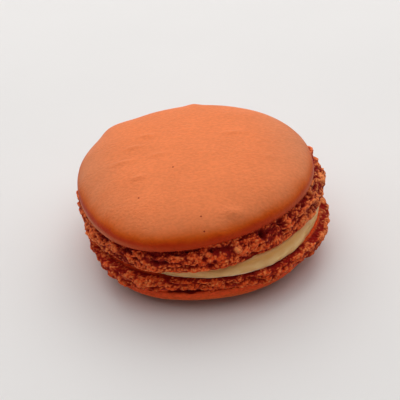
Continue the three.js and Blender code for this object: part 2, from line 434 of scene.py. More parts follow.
class NodeBench:
    """Lays out the nodes of one material."""

    def __init__(self, name: str) -> None:
        """Starts a material with one main shader.

        Args:
            name: The material's name.
        """
        self.material = bpy.data.materials.new(name)
        self.material.use_nodes = True
        self.tree = self.material.node_tree
        self.shader = next(n for n in self.tree.nodes if n.type == "BSDF_PRINCIPLED")

    def link(self, source: Socket, target: Socket) -> None:
        """Joins an output to an input."""
        self.tree.links.new(source, target)

    def set_or_link(self, target: Socket, value: object) -> None:
        """Gives an input a fixed value, or joins an output to it.

        Args:
            target: The input.
            value: A number, a colour or another node's output.
        """
        if isinstance(value, Socket):
            self.link(value, target)
        elif isinstance(value, tuple):
            target.default_value = (*value, 1.0) if len(value) == 3 else value
        else:
            target.default_value = value

    def mark(self, name: str) -> Socket:
        """Reads the numbers that the mesh carries under a name.

        Args:
            name: The mark's name.

        Returns:
            The numbers.
        """
        node = self.tree.nodes.new("ShaderNodeAttribute")
        node.attribute_name = name
        return node.outputs["Fac"]

    def noise(self, size: float, detail: float = 2.0, stretch: Triple = (1.0, 1.0, 1.0)) -> Socket:
        """Cloudy noise that stays on the surface.

        Args:
            size: Its grain in millimetres.
            detail: How many finer layers it has.
            stretch: How much longer the grain is along each axis.

        Returns:
            The noise, about 0.5.
        """
        place = self.tree.nodes.new("ShaderNodeTexCoord")
        mapping = self.tree.nodes.new("ShaderNodeMapping")
        mapping.inputs["Scale"].default_value = [1.0 / (size * MILLIMETRE * s) for s in stretch]
        self.link(place.outputs["Object"], mapping.inputs["Vector"])
        node = self.tree.nodes.new("ShaderNodeTexNoise")
        node.inputs["Scale"].default_value = 1.0
        node.inputs["Detail"].default_value = detail
        self.link(mapping.outputs["Vector"], node.inputs["Vector"])
        return node.outputs["Fac"]

    def ranged(self, value: Socket, low: float, high: float, start: float = 0.0, end: float = 1.0) -> Socket:
        """Turns one range of numbers into another, smoothly.

        Args:
            value: The numbers.
            low: The number that becomes start.
            high: The number that becomes end.
            start: First number of the new range.
            end: Last number of the new range.

        Returns:
            The new numbers.
        """
        node = self.tree.nodes.new("ShaderNodeMapRange")
        node.interpolation_type = "SMOOTHSTEP"
        for place, number in enumerate((value, low, high, start, end)):
            self.set_or_link(node.inputs[place], number)
        return node.outputs["Result"]

    def clouds(
        self, size: float, start: float, end: float, detail: float = 2.0, stretch: Triple = (1.0, 1.0, 1.0)
    ) -> Socket:
        """Cloudy noise from one number to another.

        Args:
            size: Its grain in millimetres.
            start: The number in its valleys.
            end: The number on its tops.
            detail: How many finer layers it has.
            stretch: How much longer the grain is along each axis.

        Returns:
            The noise.
        """
        return self.ranged(self.noise(size, detail, stretch), NOISE_LOW, NOISE_HIGH, start, end)

    def maths(self, work: str, first: object, second: object) -> Socket:
        """Adds, multiplies or compares two numbers.

        Args:
            work: The operation, such as ADD or MULTIPLY.
            first: A number or an output.
            second: A number or an output.

        Returns:
            The outcome.
        """
        node = self.tree.nodes.new("ShaderNodeMath")
        node.operation = work
        self.set_or_link(node.inputs[0], first)
        self.set_or_link(node.inputs[1], second)
        return node.outputs["Value"]

    def mixed(self, share: object, first: object, second: object, way: str = "MIX") -> Socket:
        """Mixes two colours.

        Args:
            share: How much of the second colour, from 0 to 1.
            first: A colour or an output.
            second: A colour or an output.
            way: How they are mixed.

        Returns:
            The mixed colour.
        """
        node = self.tree.nodes.new("ShaderNodeMix")
        node.data_type = "RGBA"
        node.blend_type = way
        self.set_or_link(node.inputs[0], share)
        self.set_or_link(node.inputs[6], first)
        self.set_or_link(node.inputs[7], second)
        return node.outputs[2]

    def grey(self, value: Socket) -> Socket:
        """A grey as light as the value."""
        return self.mixed(value, (0.0, 0.0, 0.0), (1.0, 1.0, 1.0))

    def dot(self, place: Triple, radius: float) -> Socket:
        """A small round dot about a place on the surface.

        Args:
            place: The dot's middle, in millimetres.
            radius: Its radius, in millimetres.

        Returns:
            1 in the dot and 0 outside it.
        """
        coordinates = self.tree.nodes.new("ShaderNodeTexCoord")
        node = self.tree.nodes.new("ShaderNodeVectorMath")
        node.operation = "DISTANCE"
        self.link(coordinates.outputs["Object"], node.inputs[0])
        node.inputs[1].default_value = [part * MILLIMETRE for part in place]
        inner, outer = 0.6 * radius * MILLIMETRE, 1.4 * radius * MILLIMETRE
        return self.ranged(node.outputs["Value"], inner, outer, 1.0, 0.0)

    def relief(self, height: Socket, depth: float, over: Socket | None = None) -> Socket:
        """Fine relief too small for the mesh.

        Args:
            height: The height pattern, from 0 to 1.
            depth: How high 1 stands, in millimetres.
            over: The normal that it is added to.

        Returns:
            The new normal.
        """
        node = self.tree.nodes.new("ShaderNodeBump")
        node.inputs["Strength"].default_value = 1.0
        node.inputs["Distance"].default_value = depth * MILLIMETRE
        self.link(height, node.inputs["Height"])
        if over is not None:
            self.link(over, node.inputs["Normal"])
        return node.outputs["Normal"]

    def let_light_in(self, weight: float, spread: Colour, depth: float) -> None:
        """Lets some light into the surface, where it spreads.

        Args:
            weight: How much of the light goes in, from 0 to 1.
            spread: How far red, green and blue go, against one another.
            depth: How far they go, in millimetres.
        """
        self.shader.inputs["Subsurface Weight"].default_value = weight
        self.shader.inputs["Subsurface Radius"].default_value = spread
        self.shader.inputs["Subsurface Scale"].default_value = depth * MILLIMETRE


@dataclass(frozen=True)
class MeringueFinish:
    """Satin-matt baked meringue: a smooth cap, darker towards its lip from toasting and painted shade, and a
    crumbly foot.
    """

    name: str
    cap: Colour = (0.86, 0.228, 0.077)
    # Painted shade as well as toasting: the cap darkens through this orange-brown and then the red-brown
    # below towards its lip.
    amber_and_shade: Colour = (0.83, 0.120, 0.005)
    toasted_and_shade: Colour = (0.60, 0.034, 0.001)
    # Painted reflection of the floor: a pale line along the cap's lip.
    lip: Colour = (0.84, 0.33, 0.125)
    # Painted sheen and painted shade at the cap's sides: a greyer cap colour there, and a multiply that
    # takes out some red.
    sheen_side_cap: Colour = (0.84, 0.235, 0.098)
    side_shade: Colour = (0.82, 0.97, 1.0)
    foot: Colour = (0.93, 0.096, 0.016)
    # Pale specks at random, and painted highlights on the crumbs' tips.
    pale_speck_and_highlight: Colour = (1.0, 0.32, 0.095)
    # Dark specks at random, and painted shade in the foot's creases and in the pinholes.
    dark_speck_and_shade: Colour = (0.26, 0.008, 0.005)
    cap_roughness: float = 0.68
    foot_roughness: float = 0.8
    shine: float = 0.06
    bloom: float = 0.1
    bloom_roughness: float = 0.4
    translucence: float = 0.05
    light_spread: Colour = (1.0, 0.35, 0.15)
    light_depth: float = 0.5
    mottle_size: float = 7.0
    mottle: float = 0.94
    fleck: float = 0.11
    edge_size: float = 5.0
    edge_wander: float = 0.08
    peel_size: float = 0.48
    peel_depth: float = 0.17
    peel_stretch: Triple = (1.5, 1.0, 1.0)
    peel_patch_size: float = 9.0
    speck_size: float = 0.5
    grain_size: float = 0.22
    grain_depth: float = 0.05
    pinhole_radius: float = 0.17
    pinholes: tuple[Triple, ...] = ()

    def lightness(self, bench: NodeBench) -> Socket:
        """Faint clouds and fine flecks.

        Args:
            bench: Where the material's nodes are laid out.

        Returns:
            How light each place is, up to 1.
        """
        mottle = bench.clouds(self.mottle_size, self.mottle, 1.0, 3.0)
        fleck = bench.clouds(self.peel_size, 1.0 - self.fleck, 1.0, 4.0, self.peel_stretch)
        return bench.maths("MULTIPLY", mottle, fleck)

    def cap_colour(self, bench: NodeBench) -> Socket:
        """The cap, darker towards its lip from toasting and painted shade, duller at its sides from painted
        sheen and shade, and pale on parts of its lip from a painted reflection of the floor.

        Args:
            bench: Where the material's nodes are laid out.

        Returns:
            The cap's colour.
        """
        # The toasting mark, which also carries painted shade towards the lip and on one side.
        toast_and_shade = bench.mark("toast_and_shade")
        wander = bench.clouds(self.edge_size, -self.edge_wander, self.edge_wander)
        edge = bench.maths("ADD", toast_and_shade, wander)
        # Painted sheen and painted shade at the cap's sides.
        side = bench.mark("side")
        colour = bench.mixed(side, self.cap, self.sheen_side_cap)
        colour = bench.mixed(bench.ranged(edge, 0.0, 0.7), colour, self.amber_and_shade)
        colour = bench.mixed(bench.ranged(edge, 0.45, 1.0), colour, self.toasted_and_shade)
        colour = bench.mixed(side, colour, self.side_shade, "MULTIPLY")
        # The painted reflection along the lip.
        return bench.mixed(bench.mark("lip"), colour, self.lip)

    def foot_colour(self, bench: NodeBench) -> Socket:
        """The foot, with pale and dark specks at random, painted highlights on the tips of its crumbs and
        painted shade in its creases.

        Args:
            bench: Where the material's nodes are laid out.

        Returns:
            The foot's colour.
        """
        speck = bench.noise(self.speck_size)
        colour = bench.mixed(bench.ranged(speck, 0.5, 0.75, 0.0, 0.45), self.foot, self.pale_speck_and_highlight)
        # Painted highlights on the tips of the crumbs.
        colour = bench.mixed(bench.mark("tip"), colour, self.pale_speck_and_highlight)
        # Dark specks at random, then painted shade in the creases.
        colour = bench.mixed(bench.ranged(speck, 0.5, 0.25, 0.0, 0.6), colour, self.dark_speck_and_shade)
        return bench.mixed(bench.mark("crease"), colour, self.dark_speck_and_shade)

    def normal(self, bench: NodeBench, cap: Socket) -> Socket:
        """Relief too fine for the mesh: a peel in patches on the cap, and grain on the foot.

        Args:
            bench: Where the material's nodes are laid out.
            cap: How much of the cap there is at each place.

        Returns:
            The normal.
        """
        peel = bench.noise(self.peel_size, 3.0, self.peel_stretch)
        grain = bench.noise(self.grain_size)
        patch = bench.ranged(bench.noise(self.peel_patch_size, 1.0), 0.35, 0.6, 0.35, 1.0)
        peel = bench.maths("MULTIPLY", peel, bench.maths("MULTIPLY", cap, patch))
        soft = bench.relief(peel, self.peel_depth)
        grain = bench.maths("MULTIPLY", grain, bench.maths("SUBTRACT", 1.0, cap))
        return bench.relief(grain, self.grain_depth, soft)

    def material(self) -> bpy.types.Material:
        """Makes the material.

        Returns:
            The material, which reads the marks cap, toast, side, lip, crease and tip.
        """
        bench = NodeBench(self.name)
        cap = bench.mark("cap")
        lightness = self.lightness(bench)
        cap_colour = self.cap_colour(bench)
        colour = bench.mixed(cap, self.foot_colour(bench), cap_colour)
        # Each pinhole is painted as a dot of the creases' painted shade colour.
        for place in self.pinholes:
            colour = bench.mixed(bench.dot(place, self.pinhole_radius), colour, self.dark_speck_and_shade)
        shaded = bench.mixed(1.0, colour, bench.grey(lightness), "MULTIPLY")
        bench.link(shaded, bench.shader.inputs["Base Color"])
        roughness = bench.ranged(cap, 0.0, 1.0, self.foot_roughness, self.cap_roughness)
        bench.link(roughness, bench.shader.inputs["Roughness"])
        bench.link(self.normal(bench, cap), bench.shader.inputs["Normal"])
        bench.let_light_in(self.translucence, self.light_spread, self.light_depth)
        bench.shader.inputs["Specular IOR Level"].default_value = self.shine
        bench.shader.inputs["Sheen Weight"].default_value = self.bloom
        bench.shader.inputs["Sheen Roughness"].default_value = self.bloom_roughness
        return bench.material


@dataclass(frozen=True)
class CreamFinish:
    """Smooth pale caramel cream with a soft sheen, faint streaks where it was spread, a painted highlight
    along its lower edge and painted shadow under the top shell.
    """

    name: str = "caramel_cream"
    cream: Colour = (0.90, 0.56, 0.215)
    streak: Colour = (0.82, 0.45, 0.14)
    # Painted highlight along the cream's lower edge.
    edge: Colour = (0.95, 0.60, 0.36)
    # Painted shadow of the top shell, darkest at the cream's top.
    shade: Colour = (0.74, 0.36, 0.095)
    roughness: float = 0.42
    translucence: float = 0.35
    light_spread: Colour = (1.0, 0.6, 0.3)
    light_depth: float = 1.2
    streak_size: float = 1.3
    drag_size: float = 0.9
    drag_depth: float = 0.14
    drag_stretch: Triple = (1.6, 1.6, 0.8)

    def material(self) -> bpy.types.Material:
        """Makes the material.

        Returns:
            The material, which reads the marks rim, for the painted highlight, and top, for the painted
            shadow.
        """
        bench = NodeBench(self.name)
        streak = bench.ranged(bench.noise(self.streak_size, 4.0, self.drag_stretch), 0.4, 0.65)
        colour = bench.mixed(streak, self.cream, self.streak)
        # Painted highlight along the lower edge, then painted shadow under the top shell.
        colour = bench.mixed(bench.mark("rim"), colour, self.edge)
        colour = bench.mixed(bench.mark("top"), colour, self.shade)
        bench.link(colour, bench.shader.inputs["Base Color"])
        drags = bench.noise(self.drag_size, 3.0, self.drag_stretch)
        bench.link(bench.relief(drags, self.drag_depth), bench.shader.inputs["Normal"])
        bench.shader.inputs["Roughness"].default_value = self.roughness
        bench.let_light_in(self.translucence, self.light_spread, self.light_depth)
        return bench.material


@dataclass(frozen=True)
class FloorFinish:
    """A plain pale floor with a very soft grain."""

    name: str = "pale_floor"
    pale: Colour = (0.76, 0.735, 0.715)
    dimmer: float = 0.985
    cloud_size: float = 40.0
    roughness: float = 0.7

    def material(self) -> bpy.types.Material:
        """Makes the material.

        Returns:
            The material.
        """
        bench = NodeBench(self.name)
        cloud = bench.clouds(self.cloud_size, 0.0, 1.0)
        shaded = tuple(self.dimmer * part for part in self.pale)
        bench.link(bench.mixed(cloud, shaded, self.pale), bench.shader.inputs["Base Color"])
        bench.shader.inputs["Roughness"].default_value = self.roughness
        return bench.material


# Pieces of the macaron


class Way(Enum):
    """Which way up a shell lies."""

    CREST_UP = "crest up"
    CREST_DOWN = "crest down"


@dataclass(frozen=True)
class Placing:
    """Where the middle of a shell's inner face lies, and how it is tipped about its own width and depth."""

    x: float
    y: float
    z: float
    way: Way = Way.CREST_UP
    tilt_x: float = 0.0
    tilt_y: float = 0.0

    def turn(self) -> Array:
        """Turns the shell over if it lies crest down, and then tips it.

        Returns:
            The turn from the shell's own axes to the macaron's.
        """
        over = Matrix.Rotation(math.pi if self.way is Way.CREST_DOWN else 0.0, 3, "X")
        tip = Matrix.Rotation(math.radians(self.tilt_x), 3, "X")
        lean = Matrix.Rotation(math.radians(self.tilt_y), 3, "Y")
        return np.array(tip @ lean @ over)

    def placed(self, points: Array) -> Array:
        """The shell's own points, moved to where they lie."""
        return points @ self.turn().T + np.array([self.x, self.y, self.z])


@dataclass(frozen=True)
class FineSteps:
    """How many rings each stretch of a shell has, and how many points there are round it."""

    face: int = 3
    skirt: int = 6
    foot: int = 45
    lip: int = 12
    shoulder: int = 12
    crown: int = 40
    rough_round: int = 1080
    smooth_round: int = 540
    crest_round: int = 108
    face_round: int = 108


class ShellDraw(IntEnum):
    """Which random numbers each layer of a shell's relief uses, counted from the shell's seed."""

    FOOT = 0
    DOME = 20
    SKIRT = 30
    BEND = 40
    CLUMPS = 50
    GRAINS = 60
    SPECKS = 70
    LAYERS = 75
    BURST = 80
    PORES = 85
    GROOVE = 88
    RIPPLE = 90
    RAGGED = 92
    FRINGE = 95


@dataclass(frozen=True)
class ShellPoints:
    """A shell's turned form, and how much of each part of the shell there is at each point, from 0 to 1."""

    plain: Array
    radius: Array
    angle: Array
    height: Array
    above_foot: Array
    rim: Array
    ledge: Array
    cap: Array
    free: Array
    from_edge: Array
    upper: Array


@dataclass(frozen=True)
class FootForms:
    """How much of each small form there is at each point of a foot."""

    lumps: Array
    clumps: Array
    grains: Array
    specks: Array
    layers: Array
    burst: Array
    pores: Array
    groove: Array
    hollow: Array
    crumb: Array


@dataclass(frozen=True)
class FootShade:
    """How strongly each form darkens a foot with painted shade: between its crumbs and layers, in its
    bubbles, hollows and groove, towards its lip and beside the cream.
    """

    lumps: float = 0.7
    clumps: float = 2.2
    grains: float = 2.0
    specks: float = 1.4
    layers: float = 0.9
    burst: float = 1.4
    pores: float = 1.0
    groove: float = 0.7
    hollow: float = 2.2
    upper: float = 0.2
    crumb: float = 1.2
    shade_by_cream: float = 0.9


@dataclass(frozen=True)
class FootHighlights:
    """How strongly each form lightens a foot with painted highlights on the tops of its crumbs, along the
    skirt's edge and on the single pale crumbs, and where the lightening starts and is full.
    """

    clumps: float = 0.2
    specks: float = 0.9
    layers: float = 0.1
    low_start: float = 1.55
    upper_start: float = 1.65
    full: float = 2.05
    bubbles_end: float = 0.3
    edge: float = 0.8
    crumb: float = 0.9


@dataclass(frozen=True)
class MeringueShell:
    """One baked shell: a flat inner face, a crumbly foot, a crease and a smooth domed cap.

    Heights are measured from the inner face.
    """

    name: str
    node: str
    seed: int
    place: Placing
    face_radius: float
    foot_radius: float
    skirt_height: float
    foot_height: float
    foot_bulge: float
    groove_radius: float
    lip_radius: float
    lip_height: float
    crest_height: float
    dome_power: float
    flat_radius: float = 0.0
    lean: tuple[float, float] = (0.0, 0.0)
    foot_bulges: tuple[Bulge, ...] = ()
    cap_bulges: tuple[Bulge, ...] = ()
    skirt_droops: tuple[Bulge, ...] = ()
    foot_sags: tuple[Bulge, ...] = ()
    hollows: tuple[Spot, ...] = ()
    # Single crumbs that stand out, with painted highlights on them.
    pale_crumbs: tuple[Spot, ...] = ()
    cap_bumps: tuple[Bump, ...] = ()
    toast_below: float = 0.6
    toast_height: float = 4.0
    # Painted shade: extra toasting colour about one angle, where that side of the cap is made darker.
    painted_shade_side: Bulge = Bulge(angle=-140, half_width=42, depth=0.0)
    # Where the cap's sides get painted sheen and painted shade.
    sheen_and_shade_sides: tuple[Bulge, ...] = ()
    groove_depth: float = 0.7
    groove_below: float = 0.7
    groove_above: float = 0.22
    groove_broken: float = 0.7
    groove_breaks: float = 2.6
    flare: float = 0.12
    flare_above: float = 0.45
    flare_width: float = 0.2
    # A painted reflection of the floor just above the foot: how strong it is all round, its height and its
    # half width.
    lip_reflection_share: float = 0.05
    lip_above: float = 0.95
    lip_width: float = 0.6
    # Where the painted reflection on the lip is stronger.
    lip_reflections: tuple[Bulge, ...] = ()
    ragged: float = 0.1
    ragged_size: float = 1.3
    hollow_bite: float = 0.8
    foot_swell: Relief = Relief(5.2, 0.35)
    foot_crumbs: Relief = Relief(2.3, 1.0, 0.7)
    usual_crumb: float = 0.75
    skirt_share: float = 0.35
    skirt_fine_share: float = 0.25
    skirt_reach: float = 1.0
    skirt_wave: Relief = Relief(3.4, 0.25)
    skirt_fringe: Relief = Relief(0.8, 0.15)
    ledge_fade: float = 0.4
    # Painted shade beside the cream: the middle and radius of the ring that it fills, how far it fades out,
    # and up to what height.
    shade_by_cream_ring: Triple = (0.0, 0.0, 0.0)
    shade_by_cream_fade: float = 0.7
    shade_by_cream_height: float = 0.6
    cap_swell: Relief = Relief(11, 0.22)
    cap_ripple: Relief = Relief(3.0, 0.05)
    bend: Relief = Relief(1.7, 0.35)
    clumps: Relief = Relief(1.7, 0.55, 0.42)
    grains: Relief = Relief(0.65, 0.34, 0.6)
    specks: Relief = Relief(0.32, 0.17)
    layers: Relief = Relief(2.8, 0.45, 0.24)
    burst: Relief = Relief(1.9, 0.9, 0.5)
    burst_share: float = 0.75
    pores: Relief = Relief(0.8, 0.4, 0.7)
    pore_share: float = 0.5
    shade: FootShade = FootShade()
    tips: FootHighlights = FootHighlights()
    # Painted sheen along stretches of the foot.
    sheen_stretches: tuple[Bulge, ...] = ()
    # More or less painted shade along stretches of the foot.
    dark_stretches: tuple[Bulge, ...] = ()
    steps: FineSteps = FineSteps()

    def section(self) -> tuple[Array, list[int]]:
        """Half of the shell's section, from the middle of its face round to its crest.

        Returns:
            The radius and height of each ring, and each ring's number of points.
        """
        steps = self.steps
        face_edge = (self.face_radius, 0.0)
        skirt_top = (self.foot_radius, self.skirt_height)
        groove = (self.groove_radius, self.foot_height)
        lip_top = (self.lip_radius, self.lip_height)
        belly = (self.foot_radius + self.foot_bulge, lerp(self.skirt_height, self.foot_height, 0.35))
        brow = (
            lerp(self.foot_radius, self.groove_radius, 0.4) + self.foot_bulge,
            lerp(self.skirt_height, self.foot_height, 0.8),
        )
        under_lip = (self.lip_radius, lerp(self.foot_height, self.lip_height, 0.2))
        stretches = [
            bezier([(0.0, 0.0), face_edge], steps.face),
            bezier([face_edge, (self.foot_radius, 0.0), skirt_top], steps.skirt),
            bezier([skirt_top, belly, brow, groove], steps.foot),
            bezier([groove, under_lip, lip_top], steps.lip),
            self.dome(),
        ]
        counts = [1] + [steps.face_round] * (steps.face - 1)
        counts += [steps.rough_round] * (steps.skirt + steps.foot + steps.lip + steps.shoulder)
        smooth = len(stretches[-1]) - steps.shoulder - 1
        crest = smooth // 4
        counts += [steps.smooth_round] * (smooth - crest) + [steps.crest_round] * crest + [1]
        return np.concatenate(stretches), counts

    def dome(self) -> Array:
        """The cap's section above its lip.

        Returns:
            The radius and height of each ring, down to the axis.
        """
        steps = self.steps.shoulder + self.steps.crown
        turn = np.arange(steps) / steps * math.pi / 2
        out = np.cos(turn) ** (2 / self.dome_power)
        up = np.sin(turn) ** (2 / self.dome_power)
        radius = lerp(self.flat_radius, self.lip_radius, out)
        height = lerp(self.lip_height, self.crest_height, up)
        ends = [[0.0, self.crest_height]]
        if self.flat_radius > 0:
            ends = [[self.flat_radius, self.crest_height], [self.flat_radius / 2, self.crest_height]] + ends
        return np.concatenate([np.stack([radius, height], axis=1), ends])

    def rim_share(self, radius: Array) -> Array:
        """How much of the rim each radius has reached, from 0 on the inner face to 1 on the foot."""
        return smoothstep(radius, self.face_radius, lerp(self.face_radius, self.foot_radius, 0.6))

    def measured(self, plain: Array) -> ShellPoints:
        """Finds which parts of the shell each point belongs to.

        Args:
            plain: The turned form's points.

        Returns:
            The points, with how much of each part there is at each of them.
        """
        radius = np.hypot(plain[:, 0], plain[:, 1])
        height = plain[:, 2]
        free = np.ones(len(plain))
        if self.flat_radius > 0:
            free -= smoothstep(height, lerp(self.lip_height, self.crest_height, 0.5), self.crest_height)
        return ShellPoints(
            plain=plain,
            radius=radius,
            angle=np.arctan2(plain[:, 1], plain[:, 0]),
            height=height,
            above_foot=height - self.foot_height,
            rim=self.rim_share(radius),
            ledge=smoothstep(radius, self.face_radius, self.face_radius + self.ledge_fade),
            cap=smoothstep(height, self.foot_height - 0.4, self.foot_height + 0.6),
            free=free,
            from_edge=smoothstep(height, 0.0, self.skirt_reach),
            upper=smoothstep(height, 0.15 * self.foot_height, 0.6 * self.foot_height),
        )

    def moved(self, at: ShellPoints, lumps: Array) -> Array:
        """Gives the turned form the large forms, which the solid has too.

        Args:
            at: The turned form.
            lumps: The foot's large crumbs.

        Returns:
            The moved points.
        """
        rise = np.maximum(0.0, (at.height - self.lip_height) / (self.crest_height - self.lip_height))
        out = at.radius / self.lip_radius
        sideways = np.where(rise > 0, out / np.maximum(np.hypot(out, rise), TINY), 1.0)
        foot = self.foot_swell.swells(at.plain, self.seed + ShellDraw.FOOT)
        foot = foot + self.foot_crumbs.depth * (lumps - self.usual_crumb)
        foot = foot * (at.rim * (1.0 - at.cap) * lerp(self.skirt_share, 1.0, at.from_edge))
        dome = self.cap_swell.swells(at.plain, self.seed + ShellDraw.DOME) * at.cap * at.free
        skirt = np.abs(self.skirt_wave.swells(at.plain, self.seed + ShellDraw.SKIRT))
        skirt = (skirt - added(self.skirt_droops, at.angle)) * at.rim
        skirt = skirt * (1.0 - smoothstep(at.height, 0.0, self.foot_height))
        crease = 1.0 - smoothstep(at.height, self.lip_height, self.crest_height)
        crease = crease * smoothstep(at.height, 0.0, self.foot_height)
        sag = added(self.foot_sags, at.angle) * crease
        bulge = added(self.foot_bulges, at.angle) * (1.0 - at.cap)
        bulge += added(self.cap_bulges, at.angle) * at.cap
        outward = at.radius / self.foot_radius
        spread = added(OUTLINE_WAVES, at.angle) * outward + bulge * at.free * outward**3
        scale = 1.0 + (spread + foot + dome * sideways) / np.maximum(at.radius, TINY)
        columns = [
            at.plain[:, 0] * scale + self.lean[0] * at.cap,
            at.plain[:, 1] * scale + self.lean[1] * at.cap,
            at.height + dome * (1.0 - sideways) + skirt + sag,
        ]
        return np.stack(columns, axis=1)

    def small_forms(self, at: ShellPoints, lumps: Array) -> FootForms:
        """Finds the foot's clumps, grains, layers, burst bubbles, groove and single spots.

        Args:
            at: The turned form.
            lumps: The foot's large crumbs.

        Returns:
            How much of each form there is at each point.
        """
        bends = [self.bend.swells(at.plain, self.seed + ShellDraw.BEND + axis) for axis in range(3)]
        bent = at.plain + np.stack(bends, axis=1)
        burst = bubbles(self.burst.spaced(bent), self.burst_share, self.seed + ShellDraw.BURST)
        pores = bubbles(self.pores.spaced(bent), self.pore_share, self.seed + ShellDraw.PORES)
        reach = np.where(at.above_foot < 0, self.groove_below, self.groove_above)
        whole = smoothstep(swells(at.plain / self.groove_breaks, self.seed + ShellDraw.GROOVE), -0.3, 0.3)
        return FootForms(
            lumps=lumps,
            clumps=self.clumps.crumbs(bent, self.seed + ShellDraw.CLUMPS),
            grains=self.grains.crumbs(bent, self.seed + ShellDraw.GRAINS),
            specks=self.specks.crumbs(bent, self.seed + ShellDraw.SPECKS),
            layers=swells(self.layers.spaced(bent), self.seed + ShellDraw.LAYERS),
            burst=burst * at.upper,
            pores=pores * lerp(0.4, 1.0, at.upper),
            groove=hump(at.above_foot, 0.0, reach) * at.rim * lerp(self.groove_broken, 1.0, whole),
            hollow=added(self.hollows, at.angle, at.height, self.foot_radius),
            crumb=added(self.pale_crumbs, at.angle, at.height, self.foot_radius),
        )

    def foot_relief(self, at: ShellPoints, forms: FootForms) -> Array:
        """How far the small forms stand out on the foot.

        Args:
            at: The turned form.
            forms: The foot's small forms.

        Returns:
            The height of the relief at each point.
        """
        fine = self.clumps.depth * (forms.clumps - self.usual_crumb)
        fine += self.grains.depth * (forms.grains - self.usual_crumb)
        fine += self.specks.depth * (forms.specks - self.usual_crumb) + self.layers.depth * forms.layers
        fine -= self.burst.depth * forms.burst + self.pores.depth * forms.pores
        fine *= lerp(self.skirt_fine_share, 1.0, at.from_edge)
        return (fine + forms.crumb - forms.hollow) * at.ledge * (1.0 - at.cap)

    def cap_relief(self, at: ShellPoints) -> Array:
        """How far the cap's ripple, its bumps and the flare of its lip stand out.

        Args:
            at: The turned form.

        Returns:
            The height of the relief at each point.
        """
        stretched = at.plain * np.array([0.55, 1.0, 1.0])
        ripple = self.cap_ripple.swells(stretched, self.seed + ShellDraw.RIPPLE) * at.cap * at.free
        ripple += added(self.cap_bumps, at.plain) * at.cap
        return ripple + self.flare * hump(at.above_foot, self.flare_above, self.flare_width) * at.rim

    def fringe(self, at: ShellPoints) -> Array:
        """How far the skirt's uneven edge is drawn in towards the foot.

        Args:
            at: The turned form.

        Returns:
            The rise of each point.
        """
        stretched = at.plain * np.array([1.0, 1.0, 0.3])
        fringe = np.abs(self.skirt_fringe.swells(stretched, self.seed + ShellDraw.FRINGE)) * at.rim
        return fringe * (1.0 - smoothstep(at.height, 0.0, 0.25 * self.foot_height))

    def shade_by_cream(self, at: ShellPoints) -> Array:
        """How much painted shade the foot has beside the cream, where the cream and the top shell shade it.

        Args:
            at: The turned form.

        Returns:
            Shares from 0 to 1.
        """
        x, y, radius = self.shade_by_cream_ring
        ring = np.hypot(at.plain[:, 0] - x, at.plain[:, 1] - y)
        beside = 1.0 - smoothstep(ring, radius, radius + self.shade_by_cream_fade)
        return beside * (1.0 - smoothstep(at.height, 0.0, self.shade_by_cream_height))

    def darkness(self, at: ShellPoints, forms: FootForms) -> Array:
        """How much painted shade the foot has, in its creases, bubbles and hollows.

        Args:
            at: The turned form.
            forms: The foot's small forms.

        Returns:
            The painted shade, from 0 to 1.
        """
        shade, usual = self.shade, self.usual_crumb
        dark = shade.clumps * (usual - forms.clumps) + shade.grains * (usual - forms.grains)
        dark += (
            shade.specks * (usual - forms.specks)
            + shade.lumps * (usual - forms.lumps)
            - shade.layers * forms.layers
        )
        dark += (
            shade.burst * forms.burst
            + shade.pores * forms.pores
            + shade.groove * forms.groove
            + shade.hollow * forms.hollow
            + shade.upper * at.upper
            - shade.crumb * forms.crumb
        )
        dark += shade.shade_by_cream * self.shade_by_cream(at)
        return np.clip(dark + added(self.dark_stretches, at.angle), 0.0, 1.0)

    def paleness(self, at: ShellPoints, forms: FootForms) -> Array:
        """How much painted highlight the foot has, on the tips of its crumbs, with painted sheen along
        stretches of it.

        Args:
            at: The turned form.
            forms: The foot's small forms.

        Returns:
            The painted highlight, from 0 to 1.
        """
        tips = self.tips
        tip = tips.clumps * forms.clumps + forms.grains
        tip = tip + tips.specks * forms.specks + tips.layers * forms.layers
        light = smoothstep(tip, lerp(tips.low_start, tips.upper_start, at.upper), tips.full)
        light *= 1.0 - smoothstep(forms.burst + forms.pores, 0.0, tips.bubbles_end)
        # Painted highlights along the skirt's lower edge and on the single pale crumbs.
        light += tips.edge * (1.0 - smoothstep(at.height, 0.1, 0.4)) + tips.crumb * forms.crumb
        return np.clip(light + added(self.sheen_stretches, at.angle), 0.0, 1.0)

    def marks(self, at: ShellPoints, forms: FootForms) -> dict[str, Array]:
        """Finds the numbers that the finish reads, among them painted shade, sheen, reflection and
        highlights.

        Args:
            at: The turned form.
            forms: The foot's small forms.

        Returns:
            The marks cap, toast, side, lip, crease and tip.
        """
        ragged = self.ragged * swells(at.plain / self.ragged_size, self.seed + ShellDraw.RAGGED)
        # Toasting and painted shade: the cap darkens from its crest down to its lip, and more on the
        # painted-shade side.
        toast_start, toast_end = self.lip_height - self.toast_below, self.lip_height + self.toast_height
        toast_and_shade = smoothstep(at.height, toast_start, toast_end)
        low = 1.0 - smoothstep(at.height, self.lip_height, self.crest_height)
        outer = smoothstep(at.radius, 0.5 * self.lip_radius, 0.97 * self.lip_radius)
        # The painted reflection on the lip.
        lip_reflection = self.lip_reflection_share + added(self.lip_reflections, at.angle)
        return {
            "cap": smoothstep(at.above_foot - self.hollow_bite * forms.hollow + ragged, -0.1, 0.2),
            "toast_and_shade": 1.0 - toast_and_shade + self.painted_shade_side.at(at.angle) * low,
            # Painted sheen and shade at the sides, strongest out towards the lip.
            "side": added(self.sheen_and_shade_sides, at.angle) * outer,
            "lip": lip_reflection * hump(at.above_foot, self.lip_above, self.lip_width) * at.rim,
            # Painted shade in the foot's creases, bubbles and hollows.
            "crease": self.darkness(at, forms) * at.ledge,
            # Painted highlights on the crumbs' tips, the skirt's edge and the pale crumbs.
            "tip": self.paleness(at, forms) * at.ledge,
        }

